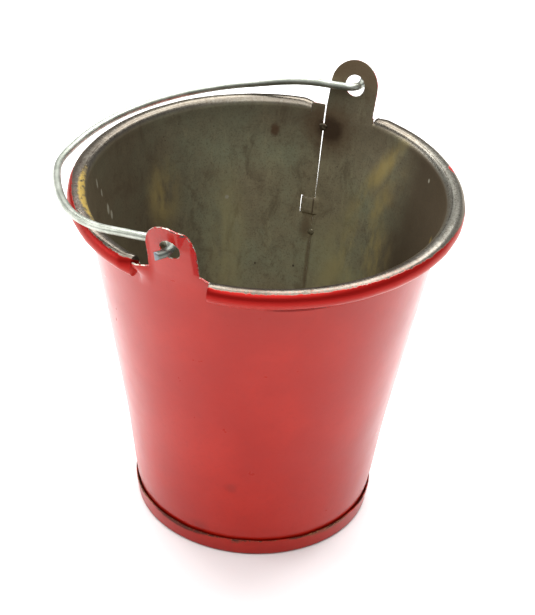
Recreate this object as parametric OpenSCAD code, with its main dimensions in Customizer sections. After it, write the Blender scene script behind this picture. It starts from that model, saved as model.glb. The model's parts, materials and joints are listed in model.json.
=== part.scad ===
// Small painted tinplate pail with a swinging wire bail.
// Millimetres. +Z is up and z = 0 is the surface that the pail stands on.
// The origin is the centre of the base. The two ears stand on the Y axis,
// the bail turns about a line parallel to Y, and it lies over to -X.

/* [Body sheet] */
// Largest diameter, over the rolled rim
rim_d = 76; // [60:1:100]
// Height of the top of the rolled rim
rim_h = 71.3; // [55:0.2:90]
// Diameter over the foot band at the floor
base_d = 47; // [40:1:54]
// Thickness of the tinplate
sheet = 0.3; // [0.2:0.05:0.5]

/* [Rolled rim] */
// Diameter of the roll
roll_d = 3.8; // [3:0.1:5]
// How far round the sheet is rolled, in degrees
roll_turn = 310; // [270:5:320]

/* [Bottom cap] */
// Height of the foot band
cap_h = 4; // [3:0.2:6]
// Outward flare at the open lip of the band
cap_flare = 0.5; // [0:0.05:0.6]
// Radius of the rounded edge that the pail stands on
cap_edge_r = 0.6; // [0.4:0.1:1]

/* [Ears] */
// Width of an ear
ear_w = 10.2; // [9:0.2:12]
// Height of the hinge line above the floor
hinge_h = 76.4; // [74:0.1:80]
// Diameter of the hole in an ear
ear_hole_d = 4.2; // [3:0.1:5]
// How much the ears lean out, as run over rise
ear_lean = 0.27; // [0.24:0.01:0.3]
// Height of the plain sheet edge beside the ears
lip_h = 71.3; // [71:0.1:72]

/* [Seam] */
// Gap between the two ends of the sheet at the rim
seam_gap_top = 0.4; // [0.2:0.05:0.6]
// Gap between the two ends of the sheet below the tab
seam_gap_low = 0.08; // [0.06:0.02:0.2]
// Height of the lower edge of the tab that locks the seam
tab_z = 48.1; // [40:0.1:55]
// Height of the tab itself
tab_h = 3.2; // [2:0.1:5]
// Reach of the tab across the seam
tab_reach = 2.5; // [2:0.1:4]
// Diameter of a solder tack
tack_d = 1.6; // [1:0.1:2]

/* [Bail] */
// Diameter of the wire
wire_d = 1.6; // [1.2:0.1:2]
// Distance between the two legs, centre to centre
bail_w = 69; // [66:0.1:69.2]
// Straight length of a leg before the round part starts
leg_len = 6.8; // [5:0.1:10]
// How far the bail hangs below level as it lies over the rim, in degrees
droop = 9.5; // [4:0.5:12]
// Length of the cut end outside the front ear
front_stub = 1.8; // [1.5:0.1:3]
// Length of the cut end outside the rear ear
rear_stub = 3.6; // [2:0.1:4]

/* [Hidden] */
$fn = 128;

// The wall leaves the cap, widens evenly and runs into the roll nearly at a tangent.
roll_r = roll_d / 2;
roll_c = [rim_d / 2 - roll_r, rim_h - roll_r];
skirt_fit = 0.1;                                      // skirt to cap, each side
skirt_r = base_d / 2 - sheet - skirt_fit;             // outside of the skirt
skirt_top = 0.55 * cap_h;
neck_step = 0.3;                                      // the wall draws in above the skirt
neck_z = 0.8 * cap_h;
neck_r = skirt_r - neck_step - sheet;                 // inside of the wall at the neck
wall_lean = atan2(roll_c[0] - roll_r - neck_r, roll_c[1] - neck_z);
roll_bulge = 0.05;                                    // the roll stands in from the wall
wall_reach = roll_r - roll_bulge;                     // square from roll centre to wall
wall_slope = (roll_c[0] - wall_reach * cos(wall_lean) - neck_r)
    / (roll_c[1] + wall_reach * sin(wall_lean) - neck_z);
wall_top = roll_c[1] - 0.4;                           // the plain cone ends here
function wall_in(z) = neck_r + wall_slope * (z - neck_z);
function snap(x) = round(100 * x) / 100;              // so that neighbours meet exactly

// Angles round the pail, counted from +X. The rear ear is at 90 degrees.
rear_ear = 90;
front_ear = 270;
ear_half = snap(asin(ear_w / 2 / (wall_in(lip_h) + sheet)));
seam_a = rear_ear + ear_half + 0.2;
roll_gap_left = 13.4;                                 // roll end to ear centre, -X side
roll_gap_front = 12.2;                                // roll end to ear centre, +X side
roll_gap_rear = ear_half + 0.7;
ear_r = snap(wall_in(wall_top) + sheet / 2 + ear_lean * (hinge_h - wall_top));

// The tab crosses the seam inside the wall and hooks out through a slot.
tab_gap = 0.03;
tab_mid_r = wall_in(tab_z + tab_h / 2);
tab_turn = snap(tab_reach / tab_mid_r * 180 / PI);
tab_end = seam_a + tab_turn;
sheet_turn = snap(sheet / tab_mid_r * 180 / PI);      // one sheet thickness as an angle
slot_turn = 2.6 * sheet_turn;
slot_margin = 0.2;
hook_turn = snap(0.4 * tab_turn);

// Solder tacks lie over the seam near the rim and under the tab.
tack_z = [66.8, 44];
tack_t = 0.2;
tack_fit = 0.02;

// The bail turns through a quarter circle at each ear and leaves through the hole.
bail_r = bail_w / 2;
hook_r = ear_r - bail_r;
ear_pass = 0.9;                                       // straight run through the hole
stub_bend_r = 1.5;
stub_turn = atan2(3, 4);
front_stub_roll = 180;                                // bent towards the reach of the bail
rear_stub_roll = -atan2(24, 7);                       // bent up and away from it

// A piece of wall between two heights, d0 to d1 out from the inner face.
module wall_patch(z0, z1, d0, d1, a0, turn) {
    rotate_extrude(start = a0, angle = turn)
        polygon([
            [wall_in(z0) + d0, z0], [wall_in(z0) + d1, z0],
            [wall_in(z1) + d1, z1], [wall_in(z1) + d0, z1]
        ]);
}

// The plain cone with the straight skirt that stands inside the cap.
module cone_wall() {
    skirt_in = skirt_r - sheet;
    skirt_z = sheet + 0.2;                            // clear of the floor of the cap
    rotate_extrude()
        polygon([
            [skirt_in, skirt_z], [skirt_r, skirt_z], [skirt_r, skirt_top],
            [neck_r + sheet, neck_z], [wall_in(wall_top) + sheet, wall_top],
            [wall_in(wall_top), wall_top], [neck_r, neck_z], [skirt_in, skirt_top]
        ]);
}

// Section of the rolled rim: a ring with a gap, and the wall that runs on into it.
module roll_section() {
    start = 180 - wall_lean;
    run_in = 18;                                      // the ring starts down along the wall
    gap_end = start + 360 - roll_turn;
    in_z = roll_c[1] - 0.02;                          // both corners end inside the ring
    out_z = roll_c[1] - 0.14;
    translate(roll_c)
        difference() {
            circle(r = roll_r);
            circle(r = roll_r - sheet);
            polygon(concat([[0, 0]], [
                for (a = [start + run_in, start + 2 * run_in, gap_end])
                    2 * roll_r * [cos(a), sin(a)]
            ]));
        }
    polygon([
        [wall_in(wall_top), wall_top], [wall_in(wall_top) + sheet, wall_top],
        [wall_in(out_z) + sheet, out_z], [wall_in(in_z), in_z]
    ]);
}

module rolled_rim(a0, a1) {
    rotate_extrude(start = a0, angle = a1 - a0)
        roll_section();
}

// The sheet between two roll ends: a plain lip with an ear standing up from it.
module ear(a0, a1) {
    top = hinge_h + ear_w;
    lean_out = ear_lean * (top - wall_top);
    foot_r = wall_in(wall_top);
    intersection() {
        rotate_extrude(start = a0, angle = a1 - a0)
            polygon([
                [foot_r, wall_top], [foot_r + sheet, wall_top],
                [foot_r + sheet + lean_out, top], [foot_r + lean_out, top]
            ]);
        rotate([90, 0, 0])
            linear_extrude(2 * rim_d, center = true)
                union() {
                    translate([-rim_d, 0]) square([2 * rim_d, lip_h]);
                    translate([-ear_w / 2, 0]) square([ear_w, hinge_h]);
                    translate([0, hinge_h]) circle(d = ear_w);
                }
    }
}

// The gap between the ends of the sheet: a hairline up to the tab, then a wedge that
// widens past the lip and trims the foot of the rear ear.
module seam_gap() {
    wedge_z = tab_z + tab_h;
    low = seam_gap_low / 2;
    high = low + (seam_gap_top / 2 - low) * (hinge_h - wedge_z) / (lip_h - wedge_z);
    rotate([0, 0, seam_a])
        translate([base_d / 3, 0, 0])
            rotate([90, 0, 90])
                linear_extrude(rim_d / 2)
                    polygon([
                        [-low, -1], [low, -1], [low, wedge_z], [high, hinge_h],
                        [-high, hinge_h], [-low, wedge_z]
                    ]);
}

// The locking tab: across the seam, out through the slot and hooked back. Each piece
// runs a little way into the next.
module seam_tab() {
    z1 = tab_z + tab_h;
    inner = -sheet - tab_gap;
    outer = 2 * sheet + tab_gap;
    run_in = sheet_turn / 2;
    wall_patch(tab_z, z1, inner, sheet / 2, seam_a - 2 * sheet_turn, sheet_turn + run_in);
    wall_patch(tab_z, z1, inner, -tab_gap, seam_a - sheet_turn, tab_turn + sheet_turn + run_in);
    wall_patch(tab_z, z1, inner, outer, tab_end, sheet_turn);
    wall_patch(tab_z, z1, sheet + tab_gap, outer, tab_end - hook_turn, hook_turn + run_in);
}

module tab_slot() {
    past = 1;
    wall_patch(tab_z - slot_margin, tab_z + tab_h + slot_margin, -past, sheet + past,
        tab_end - sheet_turn / 2, slot_turn);
}

module body_sheet() {
    color("firebrick") {
        difference() {
            union() {
                cone_wall();
                rolled_rim(rear_ear + roll_gap_left, front_ear - roll_gap_left);
                rolled_rim(front_ear + roll_gap_front, 360 + rear_ear - roll_gap_rear);
                ear(rear_ear - roll_gap_rear, rear_ear + roll_gap_left);
                ear(front_ear - roll_gap_left, front_ear + roll_gap_front);
            }
            seam_gap();
            tab_slot();
            translate([0, 0, hinge_h])
                rotate([90, 0, 0])
                    cylinder(h = 2 * rim_d, d = ear_hole_d, center = true);
        }
        seam_tab();
    }
}

// Section of the cap, filled, with the outside (inset 0) or the inside (one sheet in).
module cap_section(inset, top) {
    r = base_d / 2;
    lean = cap_flare / (cap_h - cap_edge_r);
    translate([0, inset])
        square([r - cap_edge_r, cap_edge_r]);
    translate([r - cap_edge_r, cap_edge_r])
        circle(r = cap_edge_r - inset);
    polygon([
        [0, cap_edge_r], [r - inset, cap_edge_r],
        [r - inset + lean * (top - cap_edge_r), top], [0, top]
    ]);
}

// The base disc with its band turned up round the skirt of the body.
module bottom_cap() {
    color("darkred")
        rotate_extrude()
            difference() {
                cap_section(0, cap_h);
                cap_section(sheet, 2 * cap_h);
            }
}

// Spots of solder that bridge the seam on the inside, each square to the wall.
module seam_tacks() {
    color("lightslategray")
        for (z = tack_z)
            rotate([0, 0, seam_a])
                translate([wall_in(z), 0, z])
                    rotate([0, 90 + wall_lean, 0])
                        translate([0, 0, -tack_t - tack_fit])
                            cylinder(h = tack_t, d = tack_d);
}

// A straight piece of wire along +Z.
module rod(length) {
    cylinder(h = length, d = wire_d, $fn = 48);
}

// A piece of wire bent round the Z axis.
module arc_rod(r, a0, turn) {
    rotate_extrude(start = a0, angle = turn)
        translate([r, 0])
            circle(d = wire_d, $fn = 48);
}

// A straight piece that ends in the blunt chisel edge left by the nippers.
module cut_rod(length) {
    edge = 0.2 * wire_d;
    nip_slope = 0.8;
    shoulder = length - nip_slope * (wire_d - edge);
    intersection() {
        rod(length);
        rotate([90, 0, 0])
            linear_extrude(2 * wire_d, center = true)
                polygon([
                    [-wire_d, -wire_d], [wire_d, -wire_d], [wire_d, shoulder],
                    [edge, length], [-edge, length], [-wire_d, shoulder]
                ]);
    }
}

// One end of the bail, towards +Y: the quarter turn out of the leg, the run through
// the ear, and the stub, which is bent aside in the direction that roll gives.
module bail_end(stub, roll) {
    translate([-hook_r, ear_r, 0])
        arc_rod(hook_r, 270, 90);
    translate([0, ear_r, 0])
        rotate([-90, 0, 0]) {
            rod(ear_pass);
            translate([0, 0, ear_pass])
                rotate([0, 0, roll]) {
                    translate([stub_bend_r, 0, 0])
                        rotate([-90, 0, 0])
                            arc_rod(stub_bend_r, 180, stub_turn);
                    translate(stub_bend_r * [1 - cos(stub_turn), 0, sin(stub_turn)])
                        rotate([0, stub_turn, 0])
                            cut_rod(stub);
                }
        }
}

// The bail lies over to -X and hangs a little below level.
module bail_wire() {
    color("silver")
        translate([0, 0, hinge_h])
            rotate([0, -droop, 0]) {
                translate([-leg_len, 0, 0])
                    arc_rod(bail_r, 90, 180);
                for (side = [-1, 1])
                    translate([-hook_r, side * bail_r, 0])
                        rotate([0, -90, 0])
                            rod(leg_len - hook_r);
                bail_end(rear_stub, rear_stub_roll);
                mirror([0, 1, 0])
                    bail_end(front_stub, front_stub_roll);
            }
}

body_sheet();
bottom_cap();
seam_tacks();
bail_wire();
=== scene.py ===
import json
import math

import bpy
from mathutils import Matrix, Vector


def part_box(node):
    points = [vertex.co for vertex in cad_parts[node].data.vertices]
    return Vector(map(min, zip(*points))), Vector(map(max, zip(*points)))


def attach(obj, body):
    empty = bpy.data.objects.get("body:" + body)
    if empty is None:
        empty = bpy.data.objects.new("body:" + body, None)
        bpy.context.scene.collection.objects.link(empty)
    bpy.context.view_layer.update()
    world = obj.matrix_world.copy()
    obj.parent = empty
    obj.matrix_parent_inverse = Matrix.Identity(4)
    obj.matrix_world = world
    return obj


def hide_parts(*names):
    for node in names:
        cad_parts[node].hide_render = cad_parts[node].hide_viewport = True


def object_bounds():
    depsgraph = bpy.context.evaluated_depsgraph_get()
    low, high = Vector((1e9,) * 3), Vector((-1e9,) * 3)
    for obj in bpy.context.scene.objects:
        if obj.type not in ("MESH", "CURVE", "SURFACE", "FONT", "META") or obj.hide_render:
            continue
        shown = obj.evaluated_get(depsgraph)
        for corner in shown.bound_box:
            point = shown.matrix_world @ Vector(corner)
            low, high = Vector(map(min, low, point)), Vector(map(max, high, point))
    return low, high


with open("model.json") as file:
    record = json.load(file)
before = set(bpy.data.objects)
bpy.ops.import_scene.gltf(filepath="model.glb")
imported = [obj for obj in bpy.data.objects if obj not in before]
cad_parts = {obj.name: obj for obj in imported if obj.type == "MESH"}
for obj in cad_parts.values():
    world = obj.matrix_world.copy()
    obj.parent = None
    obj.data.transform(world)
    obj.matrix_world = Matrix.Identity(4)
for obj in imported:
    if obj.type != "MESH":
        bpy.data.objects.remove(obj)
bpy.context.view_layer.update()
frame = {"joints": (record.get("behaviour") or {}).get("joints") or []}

MM = 0.001

# Sizes from the frame.
cap_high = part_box("bottom_cap")[1]
CAP_FLARE = 0.5
BASE_R = cap_high.x / MM - CAP_FLARE
CAP_H = cap_high.z / MM
RIM_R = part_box("body_sheet")[1].x / MM
HINGE_H = frame["joints"][0]["pos_m"][2] / MM

# The other sizes, as in the source of the part.
SHEET = 0.3
CAP_EDGE_R = 0.6
RIM_H = 71.3  # top of the rolled rim
ROLL_R = 1.9
ROLL_TURN = 310  # how far round the sheet is rolled
ROLL_BULGE = 0.05  # the roll stands in from the wall
LIP_H = 71.3  # plain edge of the sheet beside the ears
EAR_HALF = 5.1  # half of the width of an ear
EAR_LEAN = 0.27
HOLE_R = 2.1
REAR, FRONT = 90.0, 270.0  # directions of the two ears
LEFT_GAP = 13.4  # from an ear to the roll's ends on the left, in degrees
FRONT_GAP = 12.2  # from the front ear to the roll on the right
REAR_GAP = 9.18  # from the rear ear to the roll on the right
SEAM = 98.7  # direction of the seam
TAB_LOW, TAB_HIGH, TAB_REACH = 48.1, 51.3, 2.5
WIRE_R = 0.8
BAIL_R = 34.5
LEG = 6.8  # straight length of a leg of the bail
DROOP = 9.5  # how far the bail hangs below level
EAR_PASS = 0.9  # straight run of the wire through an ear
STUB_BEND_R = 1.5
STUB_TURN = math.atan2(3, 4)

SKIRT_FIT = 0.1
SKIRT_TOP = 2.2
NECK_Z = 3.2
NECK_STEP = 0.3
NECK_R = BASE_R - SHEET - SKIRT_FIT - NECK_STEP - SHEET
ROLL_C = (RIM_R - ROLL_R, RIM_H - ROLL_R)
LEAN = math.atan2(ROLL_C[0] - ROLL_R - NECK_R, ROLL_C[1] - NECK_Z)
REACH = ROLL_R - ROLL_BULGE
ROLL_FOOT = (ROLL_C[0] - REACH * math.cos(LEAN), ROLL_C[1] + REACH * math.sin(LEAN))
SLOPE = (ROLL_FOOT[0] - NECK_R) / (ROLL_FOOT[1] - NECK_Z)
WALL_TOP = ROLL_C[1] - 0.4  # the plain cone ends here

# What the meshes add to those shapes.
SWELL = 0.56  # the wall swells out just above the foot band
LAP = SHEET * 1.1  # from the sheet to the tab that lies on it
SLIT = 0.16  # from the lip to the cut end of the roll
TUCK = 0.36  # the legs of the bail stand in by this much
REAR_ASIDE, REAR_UP = 0.8, 0.55  # the rear hook sits off the middle of its hole
FRONT_STEPS = (8, 16, 3)  # columns of the lip, the ear and the lip at the front
REAR_STEPS = (1, 16)  # and of the lip and the ear at the back
FAR = 9.0  # "far from any edge" in the edge value


def wall_r(z):
    """Radius of the middle of the sheet at height z."""
    if z < SKIRT_TOP + 0.1:
        return BASE_R - SKIRT_FIT - 1.5 * SHEET
    return NECK_R + SLOPE * (z - NECK_Z) + SHEET / 2


def ear_r(z):
    """The same in an ear, which leans out more than the wall below it."""
    return wall_r(WALL_TOP) + EAR_LEAN * (z - WALL_TOP)


TOP_R = wall_r(WALL_TOP)
EAR_R = round((ear_r(HINGE_H)) * 100) / 100
HOOK_R = EAR_R - BAIL_R


def span(low, high, step):
    """Even steps from low up to, but not including, high."""
    count = max(1, round((high - low) / step))
    return [low + (high - low) * k / count for k in range(count)]


def stops(places, steps):
    """The places with even steps between them."""
    made = [places[0]]
    for k, count in enumerate(steps):
        made += [lerp(places[k], places[k + 1], j / count) for j in range(1, count + 1)]
    return made


def lerp(a, b, t):
    return a + (b - a) * t


def ease(t):
    """0 below 0, 1 above 1, smooth between."""
    t = min(max(t, 0.0), 1.0)
    return t * t * (3 - 2 * t)


def bell(x, middle, width):
    return math.exp(-((x - middle) / width) ** 2)


def at(az, r, z):
    a = math.radians(az)
    return (r * math.cos(a), r * math.sin(a), z)


# ---------------------------------------------------------------- camera

def add_camera():
    """The view of the photograph: from the front and above, turned a little and slightly rolled."""
    azimuth, elevation, roll = map(math.radians, (27.14, 33.79, 2.97))
    distance, across, rise = 0.48993, 0.00316, 0.03605
    back = Vector((
        math.sin(azimuth) * math.cos(elevation),
        -math.cos(azimuth) * math.cos(elevation),
        math.sin(elevation),
    ))
    level = Vector((math.cos(azimuth), math.sin(azimuth), 0))
    upright = back.cross(level)
    right = math.cos(roll) * level + math.sin(roll) * upright
    up = math.cos(roll) * upright - math.sin(roll) * level
    data = bpy.data.cameras.new("camera")
    data.lens = 138.68
    data.sensor_width = 36
    data.clip_end = 20
    camera = bpy.data.objects.new("camera", data)
    turn = Matrix((right, up, back)).transposed().to_4x4()
    camera.matrix_world = Matrix.Translation(back * distance + right * across + up * rise) @ turn
    bpy.context.scene.collection.objects.link(camera)
    bpy.context.scene.camera = camera


# ---------------------------------------------------------------- meshes

class Skin:
    """A mesh in the making. Each point carries the values that the materials read: az, degrees round
    from the rear ear; h, height; turn, degrees round the rolled rim, 180 on the wall and up to 200
    where thick enamel gets painted shade; edge, mm to the nearest free edge. The wire uses them in its
    own way."""

    NAMES = ("az", "h", "turn", "edge")

    def __init__(self):
        self.points, self.values, self.faces, self.slots = [], [], [], []

    def point(self, xyz, az=0.0, h=0.0, turn=180.0, edge=FAR):
        self.points.append(xyz)
        self.values.append((az, h, turn, edge))
        return len(self.points) - 1

    def face(self, *corners, slot=0):
        self.faces.append(corners)
        self.slots.append(slot)

    def strip(self, lower, upper, skip=()):
        """Quads between two rows of points."""
        for k in range(len(lower) - 1):
            if k not in skip:
                self.face(lower[k], lower[k + 1], upper[k + 1], upper[k])

    def loop(self, lower, upper):
        """Quads between two closed rows of points."""
        self.strip(lower + lower[:1], upper + upper[:1])

    def build(self, name, materials):
        mesh = bpy.data.meshes.new(name)
        mesh.from_pydata([[c * MM for c in p] for p in self.points], [], self.faces)
        for k, value in enumerate(self.NAMES):
            layer = mesh.attributes.new(value, "FLOAT", "POINT")
            layer.data.foreach_set("value", [v[k] for v in self.values])
        for m in materials:
            mesh.materials.append(m)
        mesh.polygons.foreach_set("material_index", self.slots)
        mesh.shade_smooth()
        obj = bpy.data.objects.new(name, mesh)
        bpy.context.scene.collection.objects.link(obj)
        return obj


# The body sheet. In these functions u is mm round from the middle of an ear.

def wander(az, z):
    """How far the wall strays outward: waves from rolling by hand, one dent, and the swell."""
    a = math.radians(az)
    slow = math.sin(3 * a + 0.05 * z) + 0.6 * math.sin(5 * a - 0.09 * z + 1)
    fine = 0.5 * math.sin(11 * a + 0.21 * z + 2) + 0.35 * math.sin(17 * a - 0.31 * z)
    level = ease((z - 4) / 8) * ease((WALL_TOP + 1 - z) / 6)
    dent = 0.12 * bell(az, 288, 4.5) * bell(z, 17.8, 2.2)
    swell = SWELL * ease((z - SKIRT_TOP) / 1.4) * ease((24 - z) / 20)
    return level * (0.03 * slow + 0.018 * fine) - dent + swell


def seam_half_gap(z):
    """Half of the gap between the two ends of the sheet, which opens above the tab."""
    return 0.015 + 0.12 * max(0.0, z - TAB_LOW) / (LIP_H - TAB_LOW)


def foot_flare(u, z):
    """Beside the front ear's left foot the sheet bulges out to meet the cut end of the roll."""
    torn = 1.0 if z > WALL_TOP + 0.1 else ease((8.1 + u) / 0.4)
    return 1.8 * torn * ease((-u - 4.4) / 3.0) * ease((z - 66.0) / 3.8)


def lip_drop(u):
    """The lip falls by 1 mm from the front ear's feet to the cut ends of the roll."""
    return ease((-u - 4.5) / 0.8) + ease((u - 5.0) / 2.4)


def past_crease(u, z):
    """How far a point of the front ear lies past the crease that runs from the ear's outline down to
    the hole, as a share of the crease's width, and how far up the crease it is, from 0 to 1."""
    share = min(max((z - HINGE_H - 1.0) / 3.6, 0.0), 1.0)
    return (u - 1.8) / (0.35 + 1.35 * share), share


def front_crease(u, z):
    """The top right part of the front ear is knocked back behind the crease, and its right edge is
    rolled back."""
    past, share = past_crease(u, z)
    step = min(max(past, 0.0), 1.0)
    back = (0.12 + 0.95 * share) * step * ease((z - HINGE_H - 0.2) / 1.2)
    rolled = 0.35 * (max(0.0, u - 4.0) / 1.1) ** 2 * ease((z - LIP_H) / 1.5)
    return foot_flare(u, z) - back - rolled


def thick_paint_shade(u, z):
    """Where the enamel lies thick on the front ear, in its crease and on its rolled right edge, and
    where it gets painted shade.
    """
    past = past_crease(u, z)[0]
    crease = ease(past / 0.2) * ease((1.15 - past) / 0.2) * ease((z - HINGE_H - 0.6) / 0.8)
    return max(crease, ease((u - 4.0) / 0.35) * ease((z - LIP_H) / 0.8))


def nothing(*place):
    return 0.0


def turn_at(u):
    """Degrees from the middle of an ear to u, at the top of the wall."""
    return math.degrees(math.asin(u / TOP_R))


def place_at(turn):
    """The u that is turn degrees from the middle of an ear, at the top of the wall."""
    return TOP_R * math.sin(math.radians(turn))


def on_ear(centre, u, z, push):
    """A point of an ear or of the lip beside it, pushed outward."""
    r = ear_r(z)
    return at(centre + math.degrees(math.asin(u / r)), r + push, z)


def ear_outline(count, left, right):
    """The outline of an ear as (u, z): count places along its foot, then up its right side, over
    the round top and down its left side. left and right are the ends of its foot."""
    side_steps, top_steps = 8, 44
    top_drop = 0.06
    side_z = [lerp(LIP_H, HINGE_H, k / side_steps) for k in range(1, side_steps + 1)]

    def side(end, z):
        full = math.copysign(EAR_HALF, end)
        return lerp(end, full, ease((z - LIP_H) / 1.6)), z

    outline = [(lerp(left, right, k / (count - 1)), LIP_H) for k in range(count)]
    outline += [side(right, z) for z in side_z]
    for k in range(1, top_steps):
        a = math.pi * k / top_steps
        outline.append((EAR_HALF * math.cos(a), HINGE_H + (EAR_HALF - top_drop) * math.sin(a)))
    return outline + [side(left, z) for z in reversed(side_z)]


def ear_head(skin, base, centre, ends, az_of, crease, thick):
    """The standing part of an ear: rings from its outline in to the hole. base is the row of points
    at the lip, and ends are the u of its two ends."""
    rings = 10
    outline = ear_outline(len(base), *ends)
    previous = None
    for ring in range(rings + 1):
        t = ring / rings
        row = [] if ring else list(base)
        for outer_u, outer_z in outline[len(row):]:
            far = math.hypot(outer_u, outer_z - HINGE_H)
            u = lerp(outer_u, HOLE_R * outer_u / far, t)
            z = lerp(outer_z, HINGE_H + HOLE_R * (outer_z - HINGE_H) / far, t)
            edge = min(t, 1 - t) * (far - HOLE_R)
            xyz = on_ear(centre, u, z, crease(u, z))
            # thick gives the painted shade of the front ear's crease and rolled edge, carried in turn.
            row.append(skin.point(xyz, az_of(u), z, 180 + 20 * thick(u, z), edge))
        if previous:
            skin.loop(previous, row)
        previous = row


def ear_zone(skin, wall_row, centre, low, high, steps, az_of,
             crease=nothing, drop=nothing, thick=nothing):
    """The lip and the ear above part of the wall's top row. low and high give the u of the zone's
    ends and of the ear's edges, on the wall and at the lip. A zone of two places has no ear."""
    bottom, top = stops(low, steps), stops(high, steps)
    rows = 4
    previous = wall_row
    for j in range(1, rows + 1):
        t = j / rows
        row = []
        for b, c in zip(bottom, top):
            u = lerp(b, c, t)
            z = lerp(WALL_TOP, LIP_H - drop(u), t)
            in_ear = abs(u) < EAR_HALF - 0.3
            edge = FAR if in_ear else (1 - t) * (LIP_H - WALL_TOP)
            row.append(skin.point(on_ear(centre, u, z, crease(u, z)), az_of(u), z, edge=edge))
        skin.strip(previous, row)
        previous = row
    if len(low) > 2:
        base = previous[steps[0]: steps[0] + steps[1] + 1]
        ear_head(skin, base, centre, high[1:3], az_of, crease, thick)


def roll(skin, wall_row, columns, first, last):
    """The rolled rim above part of the wall's top row. first and last say what is left of the roll
    at its two cut ends: the shares of its depth and its height where it was squeezed, and the share
    of both at the end face itself."""
    steps = 30
    squeezed = 3.5  # the squeezed stretch, in degrees
    sink = 1.2  # a roll squeezed higher is also pushed down
    middle = ROLL_R - SHEET / 2
    normal = (math.cos(LEAN), -math.sin(LEAN))
    foot = (ROLL_C[0] - middle * normal[0], ROLL_C[1] - middle * normal[1])
    start = 180 - math.degrees(LEAN)
    previous = wall_row
    for j in range(steps + 1):
        turn = start - ROLL_TURN * j / steps
        a = math.radians(turn)
        row = []
        for az in columns:
            from_first, from_last = az - columns[0], columns[-1] - az
            to_end = min(from_first, from_last)
            cut = first if from_first < from_last else last
            depth, height = (lerp(share, 1.0, ease(to_end / squeezed)) for share in cut[:2])
            if to_end < 0.01:
                depth, height = depth * cut[2], height * cut[2]
            uneven = 0.012 * math.sin(math.radians(az) * 9) + 0.01 * math.sin(math.radians(az) * 23)
            radius = middle * (1 - 0.012 - abs(uneven))
            r = foot[0] + radius * depth * (normal[0] + math.cos(a))
            z = foot[1] + radius * height * (normal[1] + math.sin(a)) - sink * max(0.0, height - 1)
            edge = math.radians(to_end) * RIM_R
            row.append(skin.point(at(az, r, z), az - REAR, z, turn, edge))
        skin.strip(previous, row)
        previous = row


def tab(skin, rows):
    """The tab runs from the seam's edge across the inside of the sheet, out through the slot and
    back along the outside. rows are the points at the seam's edge with their heights."""
    end = TAB_REACH + SHEET / 2
    inside = [(0.4, -1.0), (1.2, -1.0), (end - 0.4, -1.0), (end - 0.13, -0.8), (end, -0.35)]
    outside = [(end, 0.35), (end - 0.13, 0.85), (end - 0.45, 1.05), (end - 1.2, 1.05)]
    previous = [index for index, z in rows]
    for along, laps in inside + outside:
        row = []
        for index, z in rows:
            r = wall_r(z)
            az = SEAM + math.degrees(along / r)
            row.append(skin.point(at(az, r + laps * LAP, z), az - REAR, z, edge=0.3))
        for k in range(len(rows) - 1):
            skin.face(previous[k], row[k], row[k + 1], previous[k + 1])
        previous = row


def sheet_columns(front_low, rear_low):
    """Directions of the columns of points, from one end of the sheet round to the other. With them
    the first columns of the slot, the front zone, the roll on the right and the rear zone."""
    step = 1.2
    slot_r = wall_r((TAB_LOW + TAB_HIGH) / 2)
    thick_turn = math.degrees(SHEET / slot_r)
    slot_start = SEAM + math.degrees(TAB_REACH / slot_r) - 0.5 * thick_turn
    slot_end = slot_start + 1.9 * thick_turn
    left_end, front_end = REAR + LEFT_GAP, FRONT - LEFT_GAP - 0.4
    columns = span(SEAM, slot_start, step)
    slot = len(columns)
    columns += [slot_start, left_end, left_end + 0.4] + span(slot_end, front_end, step) + [front_end]
    front = len(columns)
    columns += [FRONT + turn_at(u) for u in stops(front_low, FRONT_STEPS)[:-1]]
    right = len(columns)
    columns += span(FRONT + FRONT_GAP, 360 + REAR - REAR_GAP, step)
    rear = len(columns)
    columns += [360 + REAR + turn_at(u) for u in stops(rear_low, REAR_STEPS)[:-1]]
    return columns + [360 + SEAM], slot, front, right, rear


def sheet_heights():
    """Heights of the rows of points, with rows at the tab and close beside it."""
    step, beside = 1.6, 0.2
    heights = [0.55, 1.4, SKIRT_TOP] + span(NECK_Z, TAB_LOW - beside, step) + [TAB_LOW - beside]
    heights += span(TAB_LOW, TAB_HIGH, step / 2) + [TAB_HIGH, TAB_HIGH + beside]
    return heights + span(TAB_HIGH + step, WALL_TOP, step) + [WALL_TOP]


def wall(skin, columns, slot, front):
    """The cone up to the rim. Returns its top row, and the points where the tab begins."""
    tab_edge = []
    previous, last_z = None, 0
    for z in sheet_heights():
        r = wall_r(z)
        gap = math.degrees(seam_half_gap(z) / r)
        at_tab = TAB_LOW <= z <= TAB_HIGH
        row = []
        for k, az in enumerate(columns):
            push = wander(az, z)
            if front <= k <= front + FRONT_STEPS[0]:
                push += foot_flare(r * math.sin(math.radians(az - FRONT)), z)
            if k == 0:
                az += gap
            if k == len(columns) - 1:
                az -= gap
                push = -LAP if at_tab else push
            from_seam = math.radians(min(az - SEAM, SEAM + 360 - az)) * r
            row.append(skin.point(at(az, r + push, z), az - REAR, z, edge=min(FAR, from_seam)))
        if at_tab:
            tab_edge.append((row[-1], z))
        if previous:
            in_slot = TAB_LOW - 0.3 < last_z and z < TAB_HIGH + 0.3
            skin.strip(previous, row, skip=range(slot, slot + 3) if in_slot else ())
        previous, last_z = row, z
    return previous, tab_edge


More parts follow.
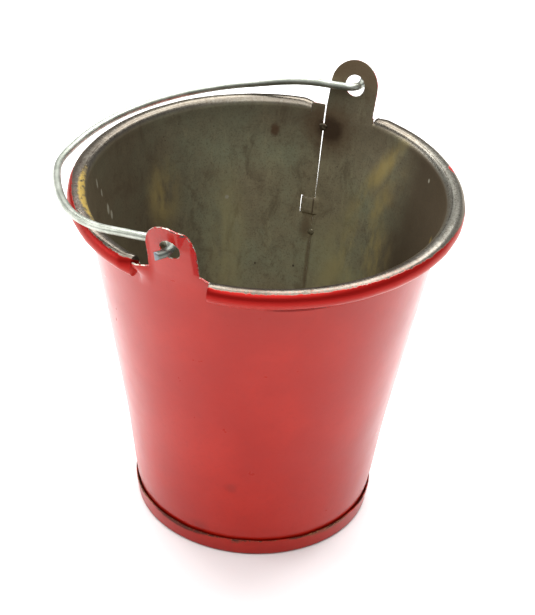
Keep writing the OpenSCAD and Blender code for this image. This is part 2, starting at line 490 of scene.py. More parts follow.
def thicken(obj):
    """Gives a surface the sheet's thickness and slightly soft edges, as the object's own mesh."""
    thick = obj.modifiers.new("thickness", "SOLIDIFY")
    thick.thickness = SHEET * MM
    thick.offset = 0
    thick.material_offset = 1
    thick.material_offset_rim = 2
    soften = obj.modifiers.new("soft edges", "BEVEL")
    soften.width = 0.05 * MM
    soften.segments = 2
    soften.limit_method = "ANGLE"
    soften.angle_limit = math.radians(50)
    soften.harden_normals = False
    graph = bpy.context.evaluated_depsgraph_get()
    mesh = bpy.data.meshes.new_from_object(obj.evaluated_get(graph), depsgraph=graph)
    obj.modifiers.clear()
    obj.data = mesh
    mesh.set_sharp_from_angle(angle=math.radians(40))


def body_sheet(materials):
    """The whole sheet as one open strip that starts and ends at the seam, then given its thickness."""
    skin = Skin()
    wider = ear_r(LIP_H) / TOP_R
    seam_low = place_at(SEAM - REAR)
    seam_high = ear_r(LIP_H) * math.sin(math.radians(SEAM - REAR))
    gap_low, gap_high = seam_half_gap(WALL_TOP), seam_half_gap(LIP_H)
    foot_half = EAR_HALF + 0.1
    front_low = [place_at(-LEFT_GAP), -EAR_HALF, EAR_HALF, place_at(FRONT_GAP)]
    front_high = [front_low[0] * wider + SLIT, -foot_half, foot_half, front_low[3] * wider - SLIT]
    rear_low = [place_at(-REAR_GAP), -EAR_HALF, seam_low - gap_low]
    rear_high = [rear_low[0] * wider + SLIT, -EAR_HALF, seam_high - gap_high]
    left_low = [seam_low + gap_low, place_at(LEFT_GAP)]
    left_high = [seam_high + gap_high, left_low[1] * wider - SLIT]

    columns, slot, front, right, rear = sheet_columns(front_low, rear_low)
    left = slot + 1
    top, tab_edge = wall(skin, columns, slot, front)
    tab(skin, tab_edge)
    ear_zone(skin, top[:left + 1], REAR, left_low, left_high, (left,), turn_at)
    roll(skin, top[left:front + 1], columns[left:front + 1], (0.8, 0.75, 0.5), (0.7, 1.2, 0.12))
    ear_zone(skin, top[front:right + 1], FRONT, front_low, front_high, FRONT_STEPS,
             lambda u: 180 + turn_at(u), front_crease, lip_drop, thick_paint_shade)
    roll(skin, top[right:rear + 1], columns[right:rear + 1], (0.95, 0.95, 1.0), (0.85, 0.85, 1.0))
    ear_zone(skin, top[rear:], 360 + REAR, rear_low, rear_high, REAR_STEPS,
             lambda u: 360 + turn_at(u))

    obj = skin.build("pail_sheet", materials)
    thicken(obj)
    return obj


# The bottom cap.

def cap_profile():
    """Section of the cap as (r, z), in two parts: from the middle of the underside round the edge
    and up over the lip, and from there down inside and back to the middle."""
    across = (0.0, 4.0, 9.0, 14.0, 18.5)
    flare = CAP_FLARE / (CAP_H - CAP_EDGE_R)
    lip_r = BASE_R + CAP_FLARE
    edge_r = BASE_R - CAP_EDGE_R
    outer = [(r, 0.0) for r in (*across, edge_r - 1.2)]
    for k in range(7):
        a = math.radians(-90 + 15 * k)
        outer.append((edge_r + CAP_EDGE_R * math.cos(a), CAP_EDGE_R + CAP_EDGE_R * math.sin(a)))
    for z in (1.2, 1.8, 2.4, 2.9, 3.3, 3.6, 3.8):
        outer.append((BASE_R + flare * (z - CAP_EDGE_R), z))
    outer += [(lip_r - 0.03, CAP_H - 0.1), (lip_r - 0.15, CAP_H), (lip_r - 0.28, CAP_H - 0.1)]
    inner = [(BASE_R - SHEET + flare * (z - CAP_EDGE_R), z) for z in (3.6, 3.0, 2.2, 1.2)]
    inner.append((BASE_R - 0.5, 0.45))
    inner += [(r, SHEET) for r in (BASE_R - 1.2, *reversed(across))]
    return outer, inner


def bottom_cap(materials):
    """The base disc with its band turned up round the foot. Its open lip is a little uneven."""
    skin = Skin()
    columns = range(0, 360, 2)
    outer, inner = cap_profile()
    rows = []
    for r, z in outer + inner:
        if r == 0.0:
            rows.append([skin.point((0, 0, z), 0, z)] * len(columns))
            continue
        row = []
        for az in columns:
            a = math.radians(az)
            ragged = 0.05 * math.sin(7 * a) + 0.04 * math.sin(19 * a + 1) + 0.035 * math.sin(31 * a + 2)
            drop = (0.11 + ragged) * ease((z - 3.2) / 0.7)
            edge = abs(CAP_H - z) if r > BASE_R - 1 else FAR
            row.append(skin.point(at(az, r - 0.15 * drop, z - drop), az, z, edge=edge))
        rows.append(row)
    for k in range(len(rows) - 1):
        slot = 1 if k > len(outer) else 0
        lower, upper = rows[k], rows[k + 1]
        for j in range(len(columns)):
            n = (j + 1) % len(columns)
            corners = dict.fromkeys((lower[j], lower[n], upper[n], upper[j]))
            skin.face(*corners, slot=slot)
    return skin.build("foot_cap", materials)


# The bail, as it lies before it droops, with its hinge at the origin.

def bail_end(side, length, roll_turn):
    """One end of the wire, from the leg outwards: the hook, the run through the ear and the stub.
    side is 1 at the rear ear and -1 at the front, and roll_turn is the way the stub is bent."""
    out = Vector((0, side, 0))
    aside = Vector((math.cos(roll_turn), 0, -math.sin(roll_turn)))
    route = []
    for k in range(13):
        a = math.radians(-90 + 7.5 * k)
        y = BAIL_R + HOOK_R + HOOK_R * math.sin(a)
        route.append(Vector((-HOOK_R + HOOK_R * math.cos(a), side * y, 0)))
    origin = Vector((0, side * EAR_R, 0))
    for k in range(1, 4):
        route.append(origin + out * EAR_PASS * k / 3)
    start = origin + out * EAR_PASS
    for k in range(1, 9):
        a = STUB_TURN * k / 8
        route.append(start + aside * STUB_BEND_R * (1 - math.cos(a)) + out * STUB_BEND_R * math.sin(a))
    heading = aside * math.sin(STUB_TURN) + out * math.cos(STUB_TURN)
    last = route[-1]
    for k in range(1, 13):
        route.append(last + heading * length * k / 12)
    return route


def bent(a):
    """How far the hand-bent loop strays outward and upward, a degrees round."""
    outward = 0.5 * bell(a, 199, 9) + 0.42 * bell(a, 241, 10) - 0.12 * bell(a, 220, 8) - 0.03
    outward -= (TUCK - 0.03) * (ease((112 - a) / 22) + ease((a - 248) / 22))
    upward = 0.7 * ease((115 - a) / 22) + 0.45 * ease((a - 250) / 14)
    return outward, upward


def bail_route():
    """Centre line of the wire, from the rear stub round to the front one."""
    rear, front = [], []
    for k, p in enumerate(bail_end(1, 3.2, -math.atan2(24, 7))):
        up = lerp(REAR_UP, -0.15, ease(k / 17))
        rear.append(p + Vector((REAR_ASIDE, -TUCK * (1 - ease(k / 12)), up)))
    for k, p in enumerate(bail_end(-1, 1.7, math.pi)):
        front.append(p + Vector((0, TUCK * (1 - ease(k / 12)), 0)))

    leg_steps, loop_steps = 8, 96
    rear_leg, loop, front_leg = [], [], []
    for k in range(1, leg_steps):
        t = k / leg_steps
        up = lerp(REAR_UP, bent(90)[1], t)
        rear_leg.append(Vector((lerp(REAR_ASIDE - HOOK_R, -LEG, t), BAIL_R - TUCK, up)))
        up = bent(270)[1] * ease(1 - t)
        front_leg.append(Vector((lerp(-LEG, -HOOK_R, t), TUCK - BAIL_R, up)))
    for k in range(loop_steps + 1):
        a = 90 + 180 * k / loop_steps
        outward, upward = bent(a)
        loop.append(Vector((-LEG, 0, upward)) + Vector(at(a, BAIL_R + outward, 0)))
    return list(reversed(rear)) + rear_leg + loop + front_leg + front


def bail(materials):
    """The wire, swept round its centre line, with the nippers' chisel cut at both ends. Its values
    are az, degrees round the wire; h, mm along it; and edge, mm to the nearer end."""
    skin = Skin()
    sides = 20
    droop = Matrix.Rotation(math.radians(-DROOP), 3, "Y")
    route = [droop @ p for p in bail_route()]
    along = [0.0]
    for k in range(1, len(route)):
        along.append(along[-1] + (route[k] - route[k - 1]).length)
    normal = Vector((0, 0, 1))
    rows = []
    for k, p in enumerate(route):
        ahead = route[min(k + 1, len(route) - 1)] - route[max(k - 1, 0)]
        ahead.normalize()
        normal = (normal - ahead * normal.dot(ahead)).normalized()
        side = ahead.cross(normal)
        to_end = min(along[k], along[-1] - along[k])
        half_flat = 0.16 + to_end / 0.8
        row = []
        for j in range(sides):
            a = 2 * math.pi * j / sides
            across = max(-half_flat, min(half_flat, math.cos(a) * WIRE_R))
            q = p + side * across + normal * (math.sin(a) * WIRE_R)
            xyz = (q.x, q.y, q.z + HINGE_H)
            row.append(skin.point(xyz, 360 * j / sides, along[k], 180.0, to_end))
        rows.append(row)
    for k in range(len(rows) - 1):
        skin.loop(rows[k + 1], rows[k])
    for row, centre in ((rows[0], route[0]), (rows[-1], route[-1])):
        hub = skin.point((centre.x, centre.y, centre.z + HINGE_H), 0, 0, 180.0, 0)
        for j in range(sides):
            n = (j + 1) % sides
            corners = (row[j], row[n], hub) if row is rows[0] else (row[n], row[j], hub)
            skin.face(*corners)
    return skin.build("bail", materials)


def solder(materials):
    """Two low, uneven lumps on the inside of the seam, each square to the wall."""
    skin = Skin()
    rings, sides = 6, 24
    height = 0.2
    a = math.radians(SEAM)
    out = Vector((math.cos(a) * math.cos(LEAN), math.sin(a) * math.cos(LEAN), -math.sin(LEAN)))
    across = Vector((-math.sin(a), math.cos(a), 0))
    up = out.cross(across)
    for z, radius, seed in ((66.8, 0.8, 0), (44.0, 0.64, 2)):
        middle = Vector(at(SEAM, wall_r(z) - SHEET / 2 - 0.02, z))
        rows = []
        for k in range(rings):
            t = k / rings
            row = []
            for j in range(sides):
                b = 2 * math.pi * j / sides
                uneven = 1 + 0.12 * math.sin(3 * b + seed) + 0.07 * math.sin(5 * b + 2 * seed)
                reach = radius * uneven * (1 - t)
                thick = height * math.sqrt(1 - (1 - t) ** 2)
                q = middle + across * reach * math.cos(b) + up * reach * math.sin(b) - out * thick
                row.append(skin.point(tuple(q), 0, z, edge=reach))
            rows.append(row)
        for k in range(rings - 1):
            skin.loop(rows[k + 1], rows[k])
        top = skin.point(tuple(middle - out * height), 0, z, edge=0)
        under = skin.point(tuple(middle), 0, z, edge=0)
        for j in range(sides):
            n = (j + 1) % sides
            skin.face(rows[-1][n], rows[-1][j], top)
            skin.face(rows[0][j], rows[0][n], under)
    return skin.build("seam_solder", materials)


# ---------------------------------------------------------------- materials

WARM = (1.0, 0.9, 0.8)  # the tint of the enamel's gloss
MM_PER_DEGREE = 0.56  # round the wall, at half its height


class Look:
    """One Principled material and short names for its nodes. Values are sockets or numbers."""

    def __init__(self, name):
        self.material = bpy.data.materials.new(name)
        self.material.use_nodes = True
        self.tree = self.material.node_tree
        self.bsdf = self.tree.nodes["Principled BSDF"]
        place = self.node("TexCoord").outputs["Object"]
        scaled = self.node("VectorMath", {0: place, "Scale": 1 / MM}, operation="SCALE")
        self.place = scaled.outputs[0]

    def node(self, kind, values=None, **settings):
        made = self.tree.nodes.new("ShaderNode" + kind)
        for key, value in settings.items():
            setattr(made, key, value)
        for socket, value in (values or {}).items():
            self.put(made.inputs[socket], value)
        return made

    def put(self, socket, value):
        if isinstance(value, bpy.types.NodeSocket):
            self.tree.links.new(value, socket)
        else:
            socket.default_value = value

    def value(self, name):
        """One of the values that the mesh carries."""
        return self.node("Attribute", attribute_name=name).outputs["Fac"]

    def sum(self, *terms):
        total = terms[0]
        for term in terms[1:]:
            total = self.node("Math", {0: total, 1: term}, operation="ADD").outputs[0]
        return total

    def times(self, first, *others):
        product = first
        for other in others:
            product = self.node("Math", {0: product, 1: other}, operation="MULTIPLY").outputs[0]
        return product

    def most(self, first, *others):
        found = first
        for other in others:
            found = self.node("Math", {0: found, 1: other}, operation="MAXIMUM").outputs[0]
        return found

    def step(self, value, low, high):
        """0 below low, 1 above high, smooth between. It falls instead if low is above high."""
        down = low > high
        ends = {"Value": value, "From Min": min(low, high), "From Max": max(low, high)}
        ends.update({"To Min": 1.0 if down else 0.0, "To Max": 0.0 if down else 1.0})
        return self.node("MapRange", ends, interpolation_type="SMOOTHSTEP").outputs["Result"]

    def noise(self, scale, detail=3.0, rough=0.55, at=None, warp=0.0):
        values = {"Vector": at or self.place, "Scale": scale, "Detail": detail}
        values.update({"Roughness": rough, "Distortion": warp})
        return self.node("TexNoise", values).outputs["Fac"]

    def cells(self, scale):
        return self.node("TexVoronoi", {"Vector": self.place, "Scale": scale}).outputs["Distance"]

    def vector(self, x, y, z):
        return self.node("CombineXYZ", {0: x, 1: y, 2: z}).outputs[0]

    def mix(self, share, a, b):
        """Colour a where share is 0, b where it is 1."""
        made = self.node("Mix", {"Factor": share}, data_type="RGBA")
        for socket, colour in ((made.inputs[6], a), (made.inputs[7], b)):
            self.put(socket, (*colour, 1.0) if isinstance(colour, tuple) else colour)
        return made.outputs[2]

    def tint(self, colour, share, strength, tone):
        """The colour with the tone laid over it, at most as strong as strength."""
        return self.mix(self.times(share, strength), colour, tone)

    def lerp(self, share, a, b):
        return self.node("Mix", {"Factor": share, "A": a, "B": b}, data_type="FLOAT").outputs[0]

    def spot(self, across, up, az, h, wide, tall, soft=0.6, ragged=0.0):
        """1 in an ellipse about a place on the wall, 0 outside. wide and tall are half sizes in mm."""
        du = self.sum(across, -az)
        du = self.node("Math", {0: du, 1: 180.0, 2: -180.0}, operation="WRAP").outputs[0]
        du = self.times(du, MM_PER_DEGREE / wide)
        dv = self.times(self.sum(up, -h), 1 / tall)
        square = self.sum(self.times(du, du), self.times(dv, dv))
        far = self.node("Math", {0: square, 1: 0.5}, operation="POWER").outputs[0]
        if ragged:
            far = self.sum(far, self.times(self.sum(self.noise(0.9, 3), -0.5), ragged))
        return self.step(far, 1 + soft / 2, 1 - soft / 2)

    def spots(self, across, up, places, soft=0.6, ragged=0.0):
        """Several spots alike but for their az, h, wide and tall."""
        return self.most(*(self.spot(across, up, *place, soft, ragged) for place in places))

    def bump(self, height, distance, strength):
        values = {"Height": height, "Distance": distance * MM, "Strength": strength}
        return self.node("Bump", values).outputs["Normal"]

    def surface(self, colour, rough, metal, normal):
        return self.finish(Base_Color=colour, Roughness=rough, Metallic=metal, Normal=normal)

    def finish(self, **sockets):
        for name, value in sockets.items():
            socket = self.bsdf.inputs[name.replace("_", " ")]
            self.put(socket, (*value, 1.0) if isinstance(value, tuple) else value)
        return self.material


def enamel_parts(look):
    """Colour, roughness and normal of the red enamel: clouded, a little dusty, with orange peel."""
    cloud = look.noise(0.06, 3)
    fine = look.noise(1.1, 4, 0.6)
    colour = look.mix(look.step(cloud, 0.35, 0.68), (0.36, 0.007, 0.0025), (0.42, 0.011, 0.004))
    colour = look.tint(colour, look.step(fine, 0.45, 0.75), 0.35, (0.32, 0.005, 0.002))
    dust = look.times(look.step(look.cells(0.8), 0.07, 0.03), look.step(look.noise(0.35), 0.56, 0.66))
    colour = look.tint(colour, dust, 0.3, (0.50, 0.16, 0.13))
    rough = look.sum(look.lerp(look.noise(0.25, 4), 0.24, 0.36), look.times(dust, 0.12))
    peel = look.noise(1.6, 2, 0.4)
    normal = look.bump(look.sum(peel, look.times(fine, 0.3)), 0.012, 0.5)
    return colour, rough, normal


def outside_look():
    """The enamel outside: darker in two patches, with painted shade on the thick enamel at the ear's
    crease, a painted shadow line under the front of the rim, chipped and worn at the edges.
    """
    look = Look("red_enamel")
    colour, rough, normal = enamel_parts(look)
    az, h, edge = look.value("az"), look.value("h"), look.value("edge")
    grain = look.noise(1.7, 4, 0.65)
    # Two darker patches of the enamel, one over the dent in the wall.
    dark_patches = look.most(
        look.spot(az, h, 198.0, 17.8, 1.4, 1.1, 1.2, 0.8),
        look.spot(az, h, 182.5, 5.3, 2.2, 1.6, 1.4, 0.8),
    )
    colour = look.tint(colour, dark_patches, 0.5, (0.23, 0.004, 0.002))
    # Painted shade: a deep dark red with a metallic reflection stands for the shade on the thick enamel
    # in the front ear's crease and on its rolled right edge.
    thick = look.step(look.value("turn"), 183, 194)
    colour = look.mix(thick, colour, (0.26, 0.0015, 0.001))
    rough = look.lerp(thick, rough, 0.4)
    nicks = look.spots(az, h, [(182.2, 81.3, 0.7, 0.3), (184.8, 80.4, 0.5, 0.3)], 0.4, 1.2)
    chip = look.most(look.step(look.sum(grain, look.times(edge, -0.55)), 0.5, 0.56), nicks)
    # Painted shadow: a thin dark line on the wall just under the front of the rolled rim stands for the
    # shadow in the gap between roll and wall.
    painted_shadow_line = look.times(look.spot(az, h, 219, 65.45, 5.4, 0.3, 0.5, 0.5), 0.85)
    colour = look.mix(painted_shadow_line, colour, (0.10, 0.004, 0.003))
    colour = look.mix(chip, colour, (0.035, 0.028, 0.025))
    worn = look.step(look.sum(grain, look.times(edge, -1.6)), 0.48, 0.56)
    colour = look.mix(worn, colour, (0.45, 0.42, 0.36))
    metal = look.most(look.times(worn, 0.8), look.times(thick, 0.75), painted_shadow_line)
    look.surface(colour, rough, metal, normal)
    look.finish(Specular_IOR_Level=0.25, Specular_Tint=WARM)
    return look.finish(Coat_Weight=0.3, Coat_Roughness=0.14, Coat_IOR=1.35)


def tin_ground(look, az, h, mottle, grain):
    """Colour of the bare tin before its stains: clouds, streaks, smudges, specks, and tarnish with
    painted shade on the sides.
    """
    across = look.times(az, MM_PER_DEGREE)
    cloud = look.noise(0.07, 4, 0.6)
    streaks = look.noise(0.55, 4, 0.6, at=look.vector(across, look.times(h, 0.3), 3.0), warp=1.0)
    dark_patches = look.noise(0.22, 5, 0.7, at=look.vector(across, look.times(h, 0.6), 11.0), warp=0.6)
    specks = look.times(look.step(look.cells(0.55), 0.12, 0.05), look.step(look.noise(0.2), 0.5, 0.6))
    colour = look.mix(look.step(cloud, 0.34, 0.66), (0.345, 0.30, 0.195), (0.35, 0.365, 0.245))
    for share, low, high, strength, tone in (
        (mottle, 0.42, 0.7, 0.5, (0.25, 0.225, 0.15)),
        (streaks, 0.5, 0.75, 0.5, (0.46, 0.43, 0.27)),
        (grain, 0.5, 0.64, 0.45, (0.15, 0.125, 0.085)),
        (dark_patches, 0.5, 0.68, 0.6, (0.17, 0.135, 0.085)),
    ):
        colour = look.tint(colour, look.step(share, low, high), strength, tone)
    colour = look.tint(colour, specks, 0.6, (0.07, 0.05, 0.035))
    # Painted shade with tarnish: the inside darkens at its left and right sides and leaves the middle of
    # the far wall lighter; the band below the rim is darker too.
    left, right = look.step(az, 35, 85), look.step(az, 350, 322)
    sides = look.times(left, look.times(right, look.lerp(look.step(az, 200, 280), 0.72, 0.95)))
    tarnish_and_side_shade = look.most(sides, look.times(look.step(h, 58, 71), 0.55))
    colour = look.mix(tarnish_and_side_shade, colour, (0.10, 0.074, 0.048))
    return look.tint(colour, look.step(h, 72, 79), 0.6, (0.16, 0.095, 0.05))


def tin_stains(look, az, h, colour):
    """Golden lacquer stains with painted reflection streaks, olive stains, heat marks at the seam, brown
    runs below the tab, blots and scratches.
    """
    slant = look.sum(az, look.times(h, 0.85))
    soft_at = look.vector(look.times(az, MM_PER_DEGREE), look.times(h, 0.35), 7.0)
    soft = look.noise(0.22, 4, 0.6, at=soft_at)
    # Painted reflection with lacquer: bright golden streaks along the wall stand for lamp reflections in
    # the gold-lacquered tin.
    gold_lacquer_and_reflection = look.most(
        look.spots(slant, h, [(396, 61, 1.6, 9), (388, 47, 2.3, 12)], 1.6),
        look.spot(az, h, 342, 44, 5.0, 8, 1.3),
        look.times(look.spot(az, h, 69, 54, 3.2, 5.5, 1.6), 0.8),
    )
    gold_lacquer_and_reflection = look.times(gold_lacquer_and_reflection, look.step(soft, 0.32, 0.6))
    olive = look.spots(az, h, [(353, 36, 7, 14), (43, 40, 3.5, 12)], 1.6)
    olive = look.times(olive, look.step(soft, 0.25, 0.6))
    halo = look.spot(az, h, 6.5, 66.2, 5.0, 5.2, 0.9, 0.6)
    heat = look.spot(az, h, 6.2, 66.4, 2.6, 2.6, 0.8, 0.5)
    brown = look.spots(az, h, [(11, 44.5, 1.2, 2.6), (9.0, 38, 0.5, 8)], 1.2, 0.8)
    blot = look.spot(az, h, 25.5, 64.7, 0.8, 1.3, 1.0, 0.7)
    dots = look.spots(az, h, [(14.6, 35.8, 0.25, 0.25), (30.8, 35.6, 0.2, 0.25)])
    scratches_left = [(105.7, 65.8, 0.3, 1.0), (103.2, 63.0, 0.25, 0.8), (100.4, 58.6, 0.45, 1.1)]
    scratches = scratches_left + [(98.6, 56.8, 0.4, 0.9), (42.6, 50.4, 0.4, 0.4), (318.3, 67, 0.3, 0.4)]
    scratched = look.spots(az, h, scratches, 0.7, 0.5)
    ochre = look.spot(az, h, 302.5, 58.5, 0.5, 1.3, 0.8, 0.6)
    for share, strength, tone in (
        (gold_lacquer_and_reflection, 0.75, (0.56, 0.44, 0.17)),
        (olive, 0.6, (0.50, 0.46, 0.24)),
        (halo, 0.6, (0.13, 0.075, 0.04)),
        (heat, 0.85, (0.06, 0.036, 0.022)),
        (brown, 0.55, (0.14, 0.085, 0.045)),
        (blot, 0.75, (0.11, 0.05, 0.025)),
        (dots, 0.8, (0.05, 0.035, 0.025)),
        (scratched, 0.8, (0.52, 0.50, 0.40)),
        (ochre, 0.6, (0.42, 0.31, 0.10)),
    ):
        colour = look.tint(colour, share, strength, tone)
    return colour


def rim_steel(look, az, turn, speckle, ribs):
    """Colour of the rolled rim's bare top: darker behind and at the left front, bright at the right."""
    steel = look.mix(look.step(speckle, 0.4, 0.65), (0.175, 0.155, 0.13), (0.25, 0.235, 0.21))
    steel = look.tint(steel, look.step(ribs, 0.5, 0.66), 0.6, (0.105, 0.085, 0.068))
    behind = look.most(look.step(az, 135, 80), look.step(az, 322, 345))
    steel = look.tint(steel, behind, 0.55, (0.075, 0.062, 0.05))
    near = look.times(look.step(az, 140, 180), look.step(az, 250, 225))
    steel = look.tint(steel, near, 0.6, (0.055, 0.045, 0.038))
    bright = look.times(look.step(az, 240, 285), look.step(az, 340, 312))
    worn = look.lerp(look.step(look.noise(3.0, 4, 0.75), 0.42, 0.58), 0.15, 0.75)
    steel = look.mix(look.times(bright, worn), steel, (0.36, 0.37, 0.32))
    dull = look.spots(az, turn, [(250, 90, 5.0, 70), (205, 90, 3.0, 70)], 1.2, 0.8)
    return look.tint(steel, dull, 0.65, (0.06, 0.052, 0.045)), behind, near


def rim_paint(look, az, turn, ribs, in_front):
    """Where enamel covers the rolled rim. Its ragged border climbs highest in front, where in_front
    is 1, and is worn back to the outer side behind. With it, where a thin smear runs past it."""
    at_back = look.most(look.step(az, 75, 55), look.step(az, 335, 350))
    border = look.sum(look.times(in_front, 72.0), look.times(at_back, 45.0), -15.0)
    ragged = look.times(look.sum(look.noise(0.55, 5, 0.6), -0.5), 22.0)
    ragged = look.sum(ragged, look.times(look.sum(ribs, -0.5), 16.0))
    past = look.sum(border, look.times(turn, -1.0), ragged)
    left_on = look.spot(az, turn, 313.5, 48, 1.3, 30, 0.3, 0.8)
    paint = look.most(look.step(past, -2.5, 2.5), left_on)
    smear = look.times(look.step(past, -70, 5), look.step(look.noise(2.2, 5, 0.75), 0.48, 0.68))
    on_left = look.times(look.step(az, 60, 95), look.step(az, 175, 120))
    on_near = look.times(look.step(az, 190, 205), look.step(az, 285, 240), 0.7)
    return paint, look.times(smear, look.most(on_left, on_near))


def inside_look():
    """Bare tin that turns over the rolled rim, where it meets the enamel in a ragged line."""
    look = Look("bare_tin_and_rim")
    az, h, turn = look.value("az"), look.value("h"), look.value("turn")
    mottle = look.noise(0.35, 5, 0.65)
    grain = look.noise(2.6, 4, 0.7)
    colour = tin_stains(look, az, h, tin_ground(look, az, h, mottle, grain))

    # The bare top of the rim, with flecks and scrapes, a dark groove line of dirt and painted shade with
    # no groove in the mesh, soot behind and lacquer at the left.
    crest = look.times(look.step(turn, 165, 135), look.step(turn, 20, 60))
    speckle = look.noise(1.9, 5, 0.7)
    ribs = look.noise(1.4, 3, 0.6, at=look.vector(look.times(az, 0.66), look.times(turn, 0.012), 5.0))
    steel, behind, near = rim_steel(look, az, turn, speckle, ribs)
    colour = look.tint(colour, crest, 0.85, steel)
    flecks = look.step(look.cells(1.5), 0.22, 0.1)
    flecks = look.times(flecks, look.step(look.noise(0.9, 4, 0.7), 0.42, 0.56))
    scrape_at = look.vector(look.times(az, 0.2), look.times(turn, 0.05), 9.0)
    scrapes = look.step(look.noise(1.5, 4, 0.7, at=scrape_at), 0.54, 0.66)
    flecks = look.most(flecks, look.times(scrapes, near))
    colour = look.mix(look.times(flecks, crest, 0.75), colour, (0.035, 0.028, 0.022))
    # Painted shade with dirt: a broken dark line stands for a groove that the mesh does not have.
    groove_shade_and_dirt = look.times(look.step(turn, 108, 112), look.step(turn, 119, 115))
    groove_shade_and_dirt = look.times(groove_shade_and_dirt, look.step(look.noise(0.5, 4, 0.7), 0.36, 0.52))
    colour = look.tint(colour, groove_shade_and_dirt, 0.7, (0.06, 0.05, 0.04))
    soot = look.times(look.step(turn, 74, 50), behind)
    colour = look.tint(colour, soot, 0.9, (0.07, 0.055, 0.042))
    lacquer = look.spot(az, turn, 127, 122, 8.5, 27, 0.6, 0.9)
    lacquer = look.times(lacquer, look.step(look.noise(1.0, 4, 0.7), 0.36, 0.5))
    colour = look.tint(colour, lacquer, 0.85, (0.42, 0.29, 0.06))

    # The enamel that comes over from the outside, painted darker at its outer side in front as a painted
    # reflection of the dark room.
    in_front = look.times(look.step(az, 85, 122), look.step(az, 345, 235))
    paint, smear = rim_paint(look, az, turn, ribs, in_front)
    # Painted reflection: a deep dark red with metallic stands for the dark room mirrored in the rim's
    # outer side in front.
    dark_reflection_band = look.times(paint, in_front, look.step(turn, -40, 10))
    red, red_rough, _ = enamel_parts(look)
    red = look.mix(dark_reflection_band, red, (0.30, 0.003, 0.002))
    red_rough = look.lerp(dark_reflection_band, red_rough, 0.42)
    colour = look.tint(colour, smear, 0.55, (0.30, 0.05, 0.04))
    colour = look.mix(paint, colour, red)

    rough = look.lerp(look.noise(0.4, 4, 0.6), 0.42, 0.62)
    rough = look.lerp(crest, rough, look.lerp(speckle, 0.2, 0.4))
    rough = look.lerp(soot, rough, 0.55)
    rough = look.lerp(paint, rough, red_rough)
    metal = look.times(look.sum(1.0, look.times(paint, -1.0)), look.lerp(crest, 0.6, 0.9))
    metal = look.times(metal, look.sum(1.0, look.times(lacquer, -0.7)))
    metal = look.most(metal, look.times(dark_reflection_band, 0.6))
    height = look.sum(look.times(mottle, 0.8), look.times(grain, 0.5), look.times(paint, 1.4))
    normal = look.bump(height, 0.03, 0.6)
    look.surface(colour, rough, metal, normal)
    return look.finish(Specular_IOR_Level=0.32, Specular_Tint=WARM)


def edge_look():
    """The cut edge of the sheet: enamel that has chipped off to steel here and there."""
    look = Look("cut_edge")
    red, rough, normal = enamel_parts(look)
    bare = look.most(look.step(look.noise(1.1, 4, 0.7), 0.47, 0.53), look.step(look.value("h"), 69, 66))
    colour = look.mix(bare, red, (0.42, 0.39, 0.33))
    dark = look.step(look.noise(2.3, 3, 0.6), 0.58, 0.64)
    colour = look.tint(colour, dark, 0.8, (0.03, 0.024, 0.02))
    rough = look.lerp(bare, rough, 0.45)
    metal = look.times(bare, 0.8)
    return look.surface(colour, rough, metal, normal)


def cap_look():
    """Enamel on the foot band, chipped dark along the open lip and scuffed where it stands."""
    look = Look("foot_enamel")
    colour, rough, normal = enamel_parts(look)
    az, h, edge = look.value("az"), look.value("h"), look.value("edge")
    grain = look.noise(1.7, 5, 0.75)
    wide = look.noise(0.22, 3, 0.5)
    flaked = look.times(look.spot(az, h, 262, 3.9, 8.5, 0.9, 0.8, 0.5), look.step(grain, 0.3, 0.45))
    chip = look.sum(look.times(grain, 0.9), wide, look.times(edge, -0.45))
    chip = look.most(look.step(chip, 0.84, 0.93), flaked)
    rubbed = look.spots(az, h, [(338, 3.9, 8, 0.9), (228, 3.9, 7, 0.8)], 0.8, 0.7)
    rust = look.sum(look.times(grain, 0.6), wide, look.times(edge, -0.3))
    rust = look.most(look.step(rust, 0.62, 0.78), look.times(rubbed, look.step(grain, 0.3, 0.5)))
    bare = look.step(look.sum(look.noise(2.1, 4, 0.7), look.times(edge, -0.5)), 0.56, 0.62)
    scuff = look.times(look.step(h, 0.9, 0.2), look.step(grain, 0.45, 0.6))
    colour = look.tint(colour, rust, 0.75, (0.17, 0.030, 0.012))
    colour = look.tint(colour, chip, 0.9, (0.06, 0.016, 0.010))
    colour = look.mix(look.times(rubbed, look.step(grain, 0.52, 0.6)), colour, (0.34, 0.13, 0.05))
    colour = look.tint(colour, bare, 0.8, (0.30, 0.16, 0.08))
    colour = look.tint(colour, scuff, 0.7, (0.08, 0.05, 0.04))
    rough = look.lerp(chip, rough, 0.6)
    metal = look.most(look.times(bare, 0.6), look.times(chip, 0.3))
    look.surface(colour, rough, metal, normal)
    return look.finish(Specular_IOR_Level=0.32, Specular_Tint=WARM)


def cap_inside_look():
    """Dull, mottled tin inside the cap."""
    look = Look("foot_tin")
    grain = look.noise(0.8, 5, 0.65)
    cloud = look.noise(0.12, 3)
    colour = look.mix(look.step(cloud, 0.35, 0.65), (0.12, 0.10, 0.07), (0.17, 0.16, 0.12))
    colour = look.tint(colour, look.step(grain, 0.5, 0.7), 0.6, (0.07, 0.05, 0.035))
    rough = look.lerp(grain, 0.4, 0.65)
    normal = look.bump(grain, 0.02, 0.5)
    return look.surface(colour, rough, 0.8, normal)


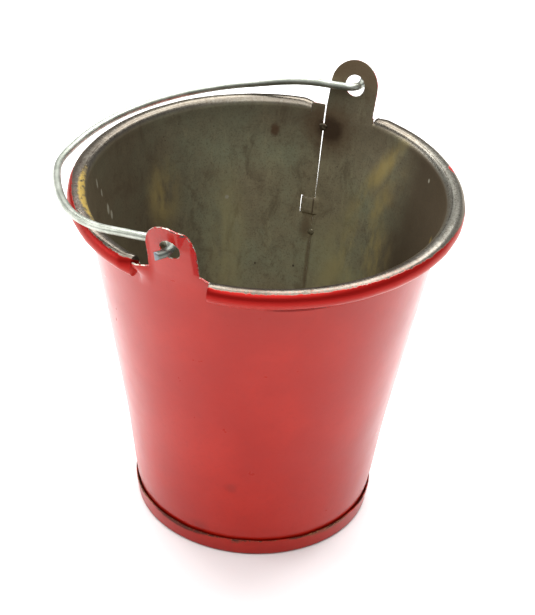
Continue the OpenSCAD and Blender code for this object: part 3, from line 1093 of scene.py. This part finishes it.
def wire_look():
    """Zinc drawn along the wire, with dull patches and pits, and painted shade darkening it near the
    ends where the nippers cut it.
    """
    look = Look("galvanised_wire")
    az, along, end = look.value("az"), look.value("h"), look.value("edge")
    drawn = look.noise(1.0, 4, 0.6, at=look.vector(look.times(az, 0.06), look.times(along, 0.09), 1.0))
    patch = look.noise(0.35, 4, 0.6)
    pits = look.step(look.noise(2.6, 3, 0.6), 0.64, 0.7)
    colour = look.mix(look.step(patch, 0.35, 0.65), (0.35, 0.375, 0.32), (0.50, 0.52, 0.46))
    colour = look.tint(colour, look.step(drawn, 0.5, 0.68), 0.5, (0.17, 0.19, 0.16))
    colour = look.tint(colour, pits, 0.6, (0.12, 0.12, 0.10))
    # Painted shade: the wire is darker within a few mm of each cut end.
    colour = look.tint(colour, look.step(end, 5.5, 3.0), 0.8, (0.10, 0.11, 0.10))
    colour = look.tint(colour, look.step(end, 0.7, 0.3), 0.7, (0.20, 0.235, 0.27))
    rough = look.lerp(drawn, 0.36, 0.56)
    normal = look.bump(look.sum(drawn, look.times(pits, -0.5)), 0.02, 0.5)
    return look.surface(colour, rough, 0.95, normal)


def solder_look():
    """Grey solder, stained dark near the rim and the colour of the wall under the tab."""
    look = Look("solder")
    grain = look.noise(2.2, 4, 0.65)
    colour = look.mix(look.step(grain, 0.4, 0.65), (0.10, 0.075, 0.05), (0.26, 0.225, 0.165))
    colour = look.mix(look.step(look.value("h"), 56, 50), colour, (0.27, 0.245, 0.165))
    rough = look.lerp(grain, 0.35, 0.6)
    normal = look.bump(grain, 0.05, 0.6)
    return look.surface(colour, rough, 0.85, normal)


# ---------------------------------------------------------------- studio

def floor_look():
    look = Look("studio_floor")
    colour = look.mix(look.noise(0.02, 2), (0.93, 0.93, 0.93), (0.95, 0.95, 0.95))
    return look.finish(Base_Color=colour, Roughness=0.8, Specular_IOR_Level=0.1)


def add_floor():
    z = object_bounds()[0][2]
    half = 3.0
    mesh = bpy.data.meshes.new("studio_floor")
    corners = [(-half, -half, z), (half, -half, z), (half, half, z), (-half, half, z)]
    mesh.from_pydata(corners, [], [(0, 1, 2, 3)])
    mesh.materials.append(floor_look())
    floor = bpy.data.objects.new("studio_floor", mesh)
    bpy.context.scene.collection.objects.link(floor)


def add_softbox(name, azimuth, elevation, distance, size, power):
    """A rectangular lamp that faces the pail, placed by the angles that it is seen at from there:
    round from the pail's front, and up. Distance and size are in metres, power in watts."""
    a, e = math.radians(azimuth), math.radians(elevation)
    data = bpy.data.lights.new(name, "AREA")
    data.shape = "RECTANGLE"
    data.size, data.size_y = size
    data.energy = power
    lamp = bpy.data.objects.new(name, data)
    middle = Vector((0, 0, 0.04))
    away = Vector((math.sin(a) * math.cos(e), -math.cos(a) * math.cos(e), math.sin(e)))
    lamp.location = middle + away * distance
    lamp.rotation_euler = away.to_track_quat("Z", "Y").to_euler()
    bpy.context.scene.collection.objects.link(lamp)


def add_studio():
    """A dim room with a wide soft lamp behind, weaker ones in front and above, and one at the left."""
    add_floor()
    add_softbox("back_softbox", 207, 62, 1.0, (1.4, 0.55), 22)
    add_softbox("top_softbox", 27, 86, 1.0, (1.0, 0.5), 5.5)
    add_softbox("front_softbox", 27, 60, 1.4, (1.2, 0.5), 9)
    add_softbox("left_softbox", -70, 20, 0.9, (0.5, 0.3), 2.5)
    world = bpy.data.worlds.new("studio")
    world.use_nodes = True
    background = world.node_tree.nodes["Background"]
    background.inputs["Color"].default_value = (1, 1, 1, 1)
    background.inputs["Strength"].default_value = 0.17
    bpy.context.scene.world = world
    bpy.context.scene.view_settings.view_transform = "Standard"


def place_piece(piece, body, node):
    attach(piece, body)
    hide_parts(node)


add_camera()
sheet_looks = [outside_look(), inside_look(), edge_look()]
place_piece(body_sheet(sheet_looks), "pail", "body_sheet")
place_piece(bottom_cap([cap_look(), cap_inside_look()]), "pail", "bottom_cap")
place_piece(solder([solder_look()]), "pail", "seam_tacks")
place_piece(bail([wire_look()]), "bail", "bail_wire")
add_studio()
